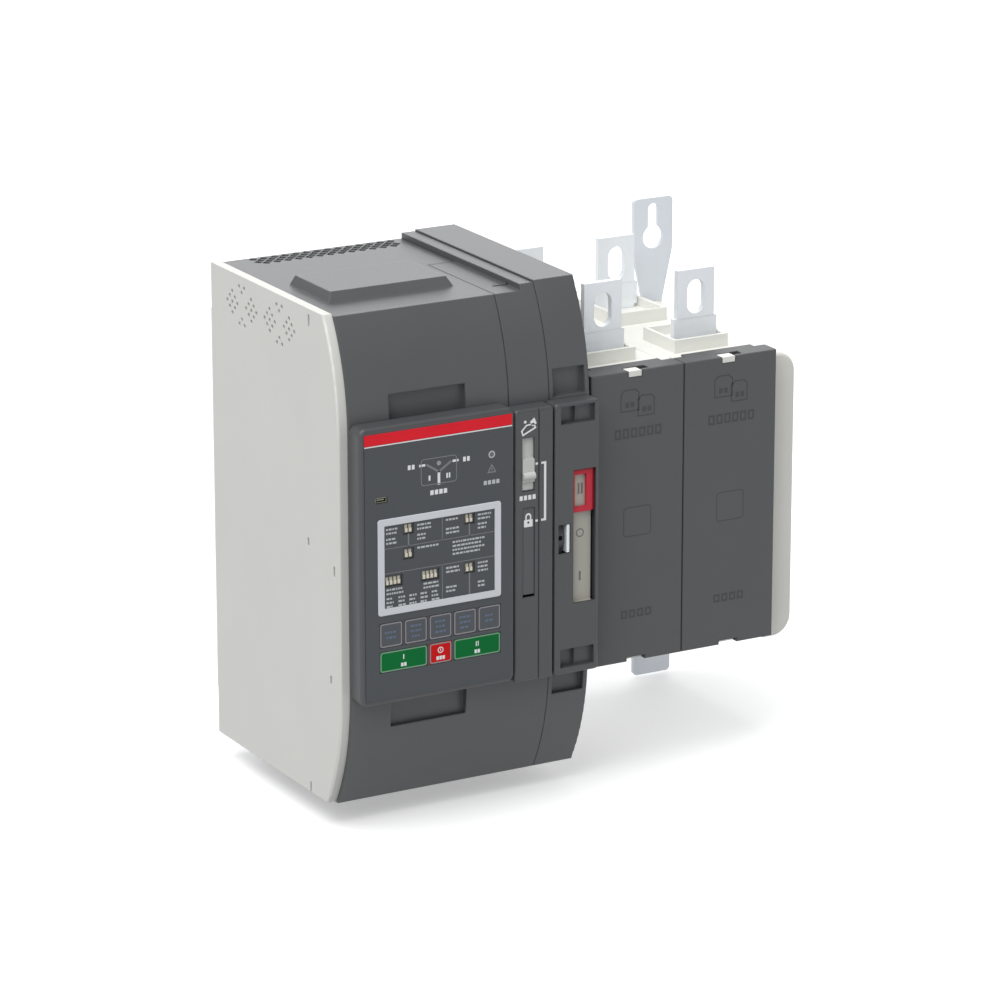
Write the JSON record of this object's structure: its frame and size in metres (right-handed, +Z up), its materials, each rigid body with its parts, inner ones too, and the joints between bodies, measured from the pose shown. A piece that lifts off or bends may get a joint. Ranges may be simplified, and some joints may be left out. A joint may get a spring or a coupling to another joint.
{
  "type": "automatic transfer switch",
  "caption": "Motor-driven changeover switch with a curved mechanism case, a front control panel, knife contacts on one shaft and slotted terminal lugs.",
  "frame": {"origin": "on the mounting plane, at the middle of the mechanism case's back", "axes": "+X towards the poles on the right as seen from the front, +Y into the mounting plate, +Z up"},
  "size_m": [0.3244, 0.1824, 0.3162],
  "materials": {
    "side_panel": "light grey powder coat",
    "case_cover": "fine grained dark grey moulding",
    "case_frame": "zinc plated sheet steel",
    "panel_body": "dark grey moulding",
    "panel_film": "satin printed film",
    "accent": "satin",
    "label_trim": "satin grey",
    "socket_metal": "nickel plated",
    "circuit_board": "solder resist",
    "dip_body": "matte",
    "dip_lever": "matte",
    "slider": "matte light grey",
    "strip_dark": "matte dark grey",
    "scale": "warm grey",
    "drive_steel": "zinc plated",
    "hub_moulding": "glass-filled moulding",
    "gear_plastic": "natural nylon",
    "position_red": "matte red",
    "coil": "moulded coil",
    "pole_body": "off-white moulding",
    "cap_body": "off-white moulding, a shade darker",
    "pole_cover": "dark grey moulding",
    "lug_metal": "tin plated copper",
    "drum": "dark moulding",
    "bolt_steel": "zinc plated",
    "bracket_steel": "zinc plated",
    "key_dark": "printed film",
    "key_green": "printed film",
    "key_red": "printed film"
  },
  "bodies": {
    "frame": {"left_side_panel": "side_panel", "left_cover": "case_cover", "centre_cover": "case_cover", "right_cover": "case_cover", "back_frame": "case_frame", "panel_housing": "panel_body", "panel_film": "panel_film", "accent_stripe": "accent", "label_frame": "label_trim", "usb_port": "socket_metal", "panel_board": "circuit_board", "dip_bodies": "dip_body", "slider_panel": "panel_body", "handle_panel": "panel_body", "position_scale": "scale", "solenoids": "coil", "mechanism_plate": "case_frame", "pole_housings": "pole_body", "pole_covers": "pole_cover", "source_lugs": "lug_metal", "load_lugs": "lug_metal", "arc_plates": "case_frame", "end_cap": "cap_body", "tie_bolts": "bolt_steel", "keyhole_bracket": "bracket_steel", "lower_bracket": "bracket_steel"},
    "rotor": {"rotor_shaft": "drive_steel", "rotor_drums": "drum", "contact_blades": "lug_metal"},
    "handle": {"handle_hub": "hub_moulding"},
    "link": {"drive_link": "drive_steel"},
    "sector": {"sector_gear": "gear_plastic"},
    "position": {"position_frame": "position_red"},
    "plunger": {"plunger": "drive_steel"},
    "mode_slider": {"mode_slider": "slider"},
    "padlock_slide": {"padlock_slide": "strip_dark"},
    "dip_lever_a1": {"dip_lever_a1": "dip_lever"},
    "dip_lever_a2": {"dip_lever_a2": "dip_lever"},
    "dip_lever_b1": {"dip_lever_b1": "dip_lever"},
    "dip_lever_b2": {"dip_lever_b2": "dip_lever"},
    "dip_lever_c1": {"dip_lever_c1": "dip_lever"},
    "dip_lever_c2": {"dip_lever_c2": "dip_lever"},
    "dip_lever_d1": {"dip_lever_d1": "dip_lever"},
    "dip_lever_d2": {"dip_lever_d2": "dip_lever"},
    "dip_lever_e1": {"dip_lever_e1": "dip_lever"},
    "dip_lever_e2": {"dip_lever_e2": "dip_lever"},
    "dip_lever_e3": {"dip_lever_e3": "dip_lever"},
    "dip_lever_e4": {"dip_lever_e4": "dip_lever"},
    "dip_lever_f1": {"dip_lever_f1": "dip_lever"},
    "dip_lever_f2": {"dip_lever_f2": "dip_lever"},
    "dip_lever_f3": {"dip_lever_f3": "dip_lever"},
    "dip_lever_f4": {"dip_lever_f4": "dip_lever"},
    "key_lamp_test": {"key_lamp_test": "key_dark"},
    "key_source_one_test": {"key_source_one_test": "key_dark"},
    "key_source_two_test": {"key_source_two_test": "key_dark"},
    "key_engine": {"key_engine": "key_dark"},
    "key_auto": {"key_auto": "key_dark"},
    "key_one_on": {"key_one_on": "key_green"},
    "key_off": {"key_off": "key_red"},
    "key_two_on": {"key_two_on": "key_green"}
  },
  "joints": [
    {"name": "rotor_turn", "type": "hinge", "parent": "frame", "child": "rotor", "pos_m": [0.1196, -0.075, 0.001], "axis": [1, 0, 0], "range_deg": [0, 90]},
    {"name": "handle_turn", "type": "hinge", "parent": "frame", "child": "handle", "pos_m": [0.0485, -0.1604, 0.001], "axis": [1, 0, 0], "range_deg": [0, 90]},
    {"name": "link_pivot", "type": "hinge", "parent": "handle", "child": "link", "pos_m": [0.0394, -0.1604, -0.013], "axis": [1, 0, 0], "range_deg": [-90, 0]},
    {"name": "sector_turn", "type": "hinge", "parent": "frame", "child": "sector", "pos_m": [0.0485, -0.136, 0.001], "axis": [1, 0, 0], "range_deg": [0, 90]},
    {"name": "position_move", "type": "slide", "parent": "frame", "child": "position", "axis": [0, 0, -1], "range_m": [0, 0.0542]},
    {"name": "plunger_move", "type": "slide", "parent": "frame", "child": "plunger", "axis": [0, 0, -1], "range_m": [0, 0.0236]},
    {"name": "mode_move", "type": "slide", "parent": "frame", "child": "mode_slider", "axis": [0, 0, 1], "range_m": [0, 0.012]},
    {"name": "padlock_pull", "type": "slide", "parent": "frame", "child": "padlock_slide", "axis": [0, -1, 0], "range_m": [0, 0.014]},
    {"name": "key_lamp_test_press", "type": "slide", "parent": "frame", "child": "key_lamp_test", "axis": [0, 1, 0], "range_m": [0, 0.0006], "stiffness_N_per_m": 500},
    {"name": "key_source_one_test_press", "type": "slide", "parent": "frame", "child": "key_source_one_test", "axis": [0, 1, 0], "range_m": [0, 0.0006], "stiffness_N_per_m": 500},
    {"name": "key_source_two_test_press", "type": "slide", "parent": "frame", "child": "key_source_two_test", "axis": [0, 1, 0], "range_m": [0, 0.0006], "stiffness_N_per_m": 500},
    {"name": "key_engine_press", "type": "slide", "parent": "frame", "child": "key_engine", "axis": [0, 1, 0], "range_m": [0, 0.0006], "stiffness_N_per_m": 500},
    {"name": "key_auto_press", "type": "slide", "parent": "frame", "child": "key_auto", "axis": [0, 1, 0], "range_m": [0, 0.0006], "stiffness_N_per_m": 500},
    {"name": "key_one_on_press", "type": "slide", "parent": "frame", "child": "key_one_on", "axis": [0, 1, 0], "range_m": [0, 0.0006], "stiffness_N_per_m": 500},
    {"name": "key_off_press", "type": "slide", "parent": "frame", "child": "key_off", "axis": [0, 1, 0], "range_m": [0, 0.0006], "stiffness_N_per_m": 500},
    {"name": "key_two_on_press", "type": "slide", "parent": "frame", "child": "key_two_on", "axis": [0, 1, 0], "range_m": [0, 0.0006], "stiffness_N_per_m": 500},
    {"name": "dip_lever_a1_set", "type": "slide", "parent": "frame", "child": "dip_lever_a1", "axis": [0, 0, 1], "range_m": [0, 0.002]},
    {"name": "dip_lever_a2_set", "type": "slide", "parent": "frame", "child": "dip_lever_a2", "axis": [0, 0, 1], "range_m": [0, 0.002]},
    {"name": "dip_lever_b1_set", "type": "slide", "parent": "frame", "child": "dip_lever_b1", "axis": [0, 0, 1], "range_m": [0, 0.002]},
    {"name": "dip_lever_b2_set", "type": "slide", "parent": "frame", "child": "dip_lever_b2", "axis": [0, 0, 1], "range_m": [0, 0.002]},
    {"name": "dip_lever_c1_set", "type": "slide", "parent": "frame", "child": "dip_lever_c1", "axis": [0, 0, 1], "range_m": [0, 0.002]},
    {"name": "dip_lever_c2_set", "type": "slide", "parent": "frame", "child": "dip_lever_c2", "axis": [0, 0, 1], "range_m": [0, 0.002]},
    {"name": "dip_lever_d1_set", "type": "slide", "parent": "frame", "child": "dip_lever_d1", "axis": [0, 0, 1], "range_m": [0, 0.002]},
    {"name": "dip_lever_d2_set", "type": "slide", "parent": "frame", "child": "dip_lever_d2", "axis": [0, 0, 1], "range_m": [0, 0.002]},
    {"name": "dip_lever_e1_set", "type": "slide", "parent": "frame", "child": "dip_lever_e1", "axis": [0, 0, 1], "range_m": [0, 0.002]},
    {"name": "dip_lever_e2_set", "type": "slide", "parent": "frame", "child": "dip_lever_e2", "axis": [0, 0, 1], "range_m": [0, 0.002]},
    {"name": "dip_lever_e3_set", "type": "slide", "parent": "frame", "child": "dip_lever_e3", "axis": [0, 0, 1], "range_m": [0, 0.002]},
    {"name": "dip_lever_e4_set", "type": "slide", "parent": "frame", "child": "dip_lever_e4", "axis": [0, 0, 1], "range_m": [0, 0.002]},
    {"name": "dip_lever_f1_set", "type": "slide", "parent": "frame", "child": "dip_lever_f1", "axis": [0, 0, 1], "range_m": [0, 0.002]},
    {"name": "dip_lever_f2_set", "type": "slide", "parent": "frame", "child": "dip_lever_f2", "axis": [0, 0, 1], "range_m": [0, 0.002]},
    {"name": "dip_lever_f3_set", "type": "slide", "parent": "frame", "child": "dip_lever_f3", "axis": [0, 0, 1], "range_m": [0, 0.002]},
    {"name": "dip_lever_f4_set", "type": "slide", "parent": "frame", "child": "dip_lever_f4", "axis": [0, 0, 1], "range_m": [0, 0.002]}
  ],
  "couplings": [
    {"joint": "handle_turn", "follows": "rotor_turn", "ratio": 1},
    {"joint": "link_pivot", "follows": "rotor_turn", "ratio": -1},
    {"joint": "sector_turn", "follows": "rotor_turn", "ratio": 1},
    {"joint": "position_move", "follows": "rotor_turn", "m_per_rad": 0.0345},
    {"joint": "plunger_move", "follows": "rotor_turn", "m_per_rad": 0.015}
  ]
}
